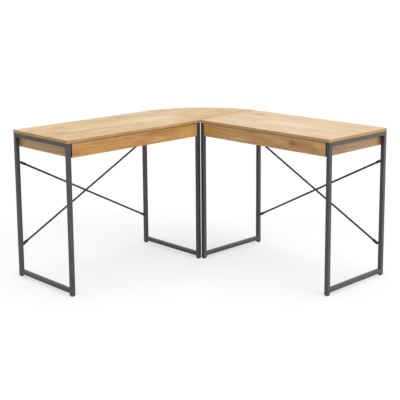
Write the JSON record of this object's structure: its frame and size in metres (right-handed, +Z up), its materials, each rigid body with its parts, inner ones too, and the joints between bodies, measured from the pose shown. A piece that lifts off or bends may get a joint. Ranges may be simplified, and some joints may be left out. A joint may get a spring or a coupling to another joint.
{
  "type": "corner desk",
  "caption": "L-shaped corner desk: thin oak-decor tops on dark square-tube frames, a quarter-round corner top, crossed rear braces and screw-in levelling feet.",
  "frame": {"origin": "on the floor, in the middle of the square that the desk fits in", "axes": "+Z up; the left wing runs along X and faces -Y, the right wing runs along Y and faces -X"},
  "size_m": [1.3, 1.3, 0.75],
  "materials": {
    "oak_board": "matt oak-decor board",
    "dark_steel": "satin powder coat",
    "black_plastic": "matt moulded",
    "zinc_steel": "zinc plated"
  },
  "bodies": {
    "desk": {"corner_top": "oak_board", "left_angle_bolts": "zinc_steel", "left_angle_rivet_nuts": "zinc_steel", "left_angle_screws": "zinc_steel", "left_board_bolts": "zinc_steel", "left_board_rivet_nuts": "zinc_steel", "left_brace_bolts": "dark_steel", "left_brace_nuts": "dark_steel", "left_bracket_screws": "zinc_steel", "left_corner_brackets": "zinc_steel", "left_front_board": "oak_board", "left_front_brace": "dark_steel", "left_inner_end_board": "oak_board", "left_inner_frame": "dark_steel", "left_inner_leg_inserts": "black_plastic", "left_outer_end_board": "oak_board", "left_outer_frame": "dark_steel", "left_outer_leg_inserts": "black_plastic", "left_rear_board": "oak_board", "left_rear_brace": "dark_steel", "left_support_angle": "dark_steel", "left_top": "oak_board", "left_top_screws": "zinc_steel", "right_angle_bolts": "zinc_steel", "right_angle_rivet_nuts": "zinc_steel", "right_angle_screws": "zinc_steel", "right_board_bolts": "zinc_steel", "right_board_rivet_nuts": "zinc_steel", "right_brace_bolts": "dark_steel", "right_brace_nuts": "dark_steel", "right_bracket_screws": "zinc_steel", "right_corner_brackets": "zinc_steel", "right_front_board": "oak_board", "right_front_brace": "dark_steel", "right_inner_end_board": "oak_board", "right_inner_frame": "dark_steel", "right_inner_leg_inserts": "black_plastic", "right_outer_end_board": "oak_board", "right_outer_frame": "dark_steel", "right_outer_leg_inserts": "black_plastic", "right_rear_board": "oak_board", "right_rear_brace": "dark_steel", "right_support_angle": "dark_steel", "right_top": "oak_board", "right_top_screws": "zinc_steel"},
    "left_inner_front_foot_body": {"left_inner_front_foot": "black_plastic"},
    "left_inner_rear_foot_body": {"left_inner_rear_foot": "black_plastic"},
    "left_outer_front_foot_body": {"left_outer_front_foot": "black_plastic"},
    "left_outer_rear_foot_body": {"left_outer_rear_foot": "black_plastic"},
    "right_inner_front_foot_body": {"right_inner_front_foot": "black_plastic"},
    "right_inner_rear_foot_body": {"right_inner_rear_foot": "black_plastic"},
    "right_outer_front_foot_body": {"right_outer_front_foot": "black_plastic"},
    "right_outer_rear_foot_body": {"right_outer_rear_foot": "black_plastic"}
  },
  "joints": [
    {"name": "left_inner_front_foot_screw", "type": "slide", "parent": "desk", "child": "left_inner_front_foot_body", "axis": [0, 0, -1], "range_m": [0, 0.01]},
    {"name": "left_inner_rear_foot_screw", "type": "slide", "parent": "desk", "child": "left_inner_rear_foot_body", "axis": [0, 0, -1], "range_m": [0, 0.01]},
    {"name": "left_outer_front_foot_screw", "type": "slide", "parent": "desk", "child": "left_outer_front_foot_body", "axis": [0, 0, -1], "range_m": [0, 0.01]},
    {"name": "left_outer_rear_foot_screw", "type": "slide", "parent": "desk", "child": "left_outer_rear_foot_body", "axis": [0, 0, -1], "range_m": [0, 0.01]},
    {"name": "right_inner_front_foot_screw", "type": "slide", "parent": "desk", "child": "right_inner_front_foot_body", "axis": [0, 0, -1], "range_m": [0, 0.01]},
    {"name": "right_inner_rear_foot_screw", "type": "slide", "parent": "desk", "child": "right_inner_rear_foot_body", "axis": [0, 0, -1], "range_m": [0, 0.01]},
    {"name": "right_outer_front_foot_screw", "type": "slide", "parent": "desk", "child": "right_outer_front_foot_body", "axis": [0, 0, -1], "range_m": [0, 0.01]},
    {"name": "right_outer_rear_foot_screw", "type": "slide", "parent": "desk", "child": "right_outer_rear_foot_body", "axis": [0, 0, -1], "range_m": [0, 0.01]}
  ]
}
